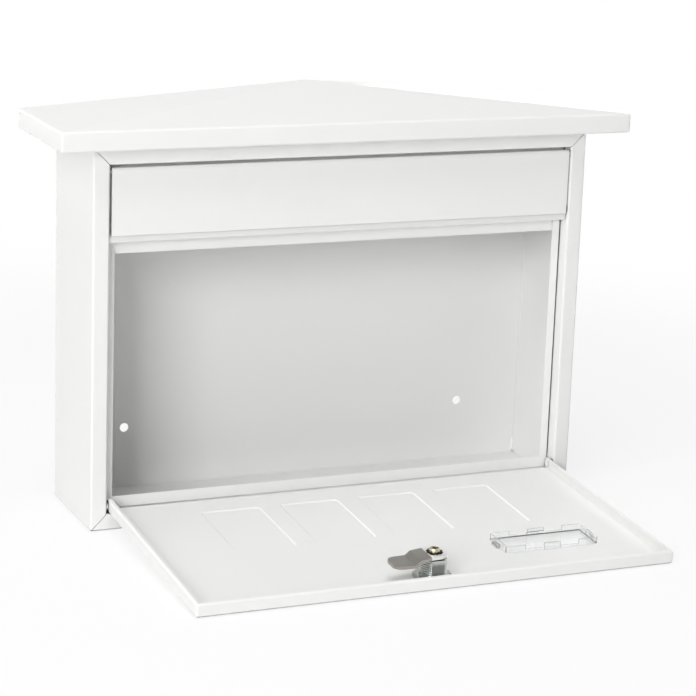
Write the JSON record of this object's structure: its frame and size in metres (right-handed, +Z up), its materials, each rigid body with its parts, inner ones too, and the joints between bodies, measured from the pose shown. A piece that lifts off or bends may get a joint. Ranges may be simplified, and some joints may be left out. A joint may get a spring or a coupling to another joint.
{
  "type": "wall mailbox",
  "caption": "White painted steel wall mailbox with a shallow hip roof, a top-hung letter flap, and a bottom-hinged drop-down door with pressed panels, cam lock and clear name holder",
  "frame": {"origin": "middle of the four wall holes, on the back face of the housing", "axes": "X to the right as seen from the front, Y to the wall, Z up"},
  "size_m": [0.412, 0.2602, 0.2882],
  "materials": {
    "white_paint": "semi-gloss white powder coat on steel sheet",
    "plain_steel": "bright drawn steel",
    "lock_chrome": "nickel-plated zinc",
    "wafer_brass": "stamped brass",
    "cam_steel": "zinc-plated steel, dull",
    "black_steel": "black oxide steel",
    "yellow_zinc": "yellow-passivated zinc plate",
    "clear_plastic": "clear moulded plastic"
  },
  "bodies": {
    "box": {"housing": "white_paint", "roof": "white_paint", "door_frame": "white_paint", "crossbar": "white_paint", "flap_rod": "plain_steel", "hinge_pins": "white_paint"},
    "flap": {"letter_flap": "white_paint"},
    "door": {"door_panel": "white_paint", "lock_barrel": "lock_chrome", "lock_nut": "lock_chrome", "name_holder": "clear_plastic"},
    "cam": {"lock_plug": "lock_chrome", "lock_wafers": "wafer_brass", "wafer_springs": "plain_steel", "stop_washer": "black_steel", "lock_cam": "cam_steel", "tooth_washer": "black_steel", "cam_screw": "yellow_zinc"}
  },
  "joints": [
    {"name": "flap_hinge", "type": "hinge", "parent": "box", "child": "flap", "pos_m": [0, -0.08232, 0.11412], "axis": [-1, 0, 0], "range_deg": [0, 105]},
    {"name": "door_hinge", "type": "hinge", "parent": "box", "child": "door", "pos_m": [0, -0.0808, -0.11411], "axis": [-1, 0, 0], "range_deg": [0, 93.8]},
    {"name": "lock_turn", "type": "hinge", "parent": "door", "child": "cam", "pos_m": [0, -0.2413, -0.12878], "axis": [0, -0.0663, 0.9978], "range_deg": [0, 90]}
  ]
}
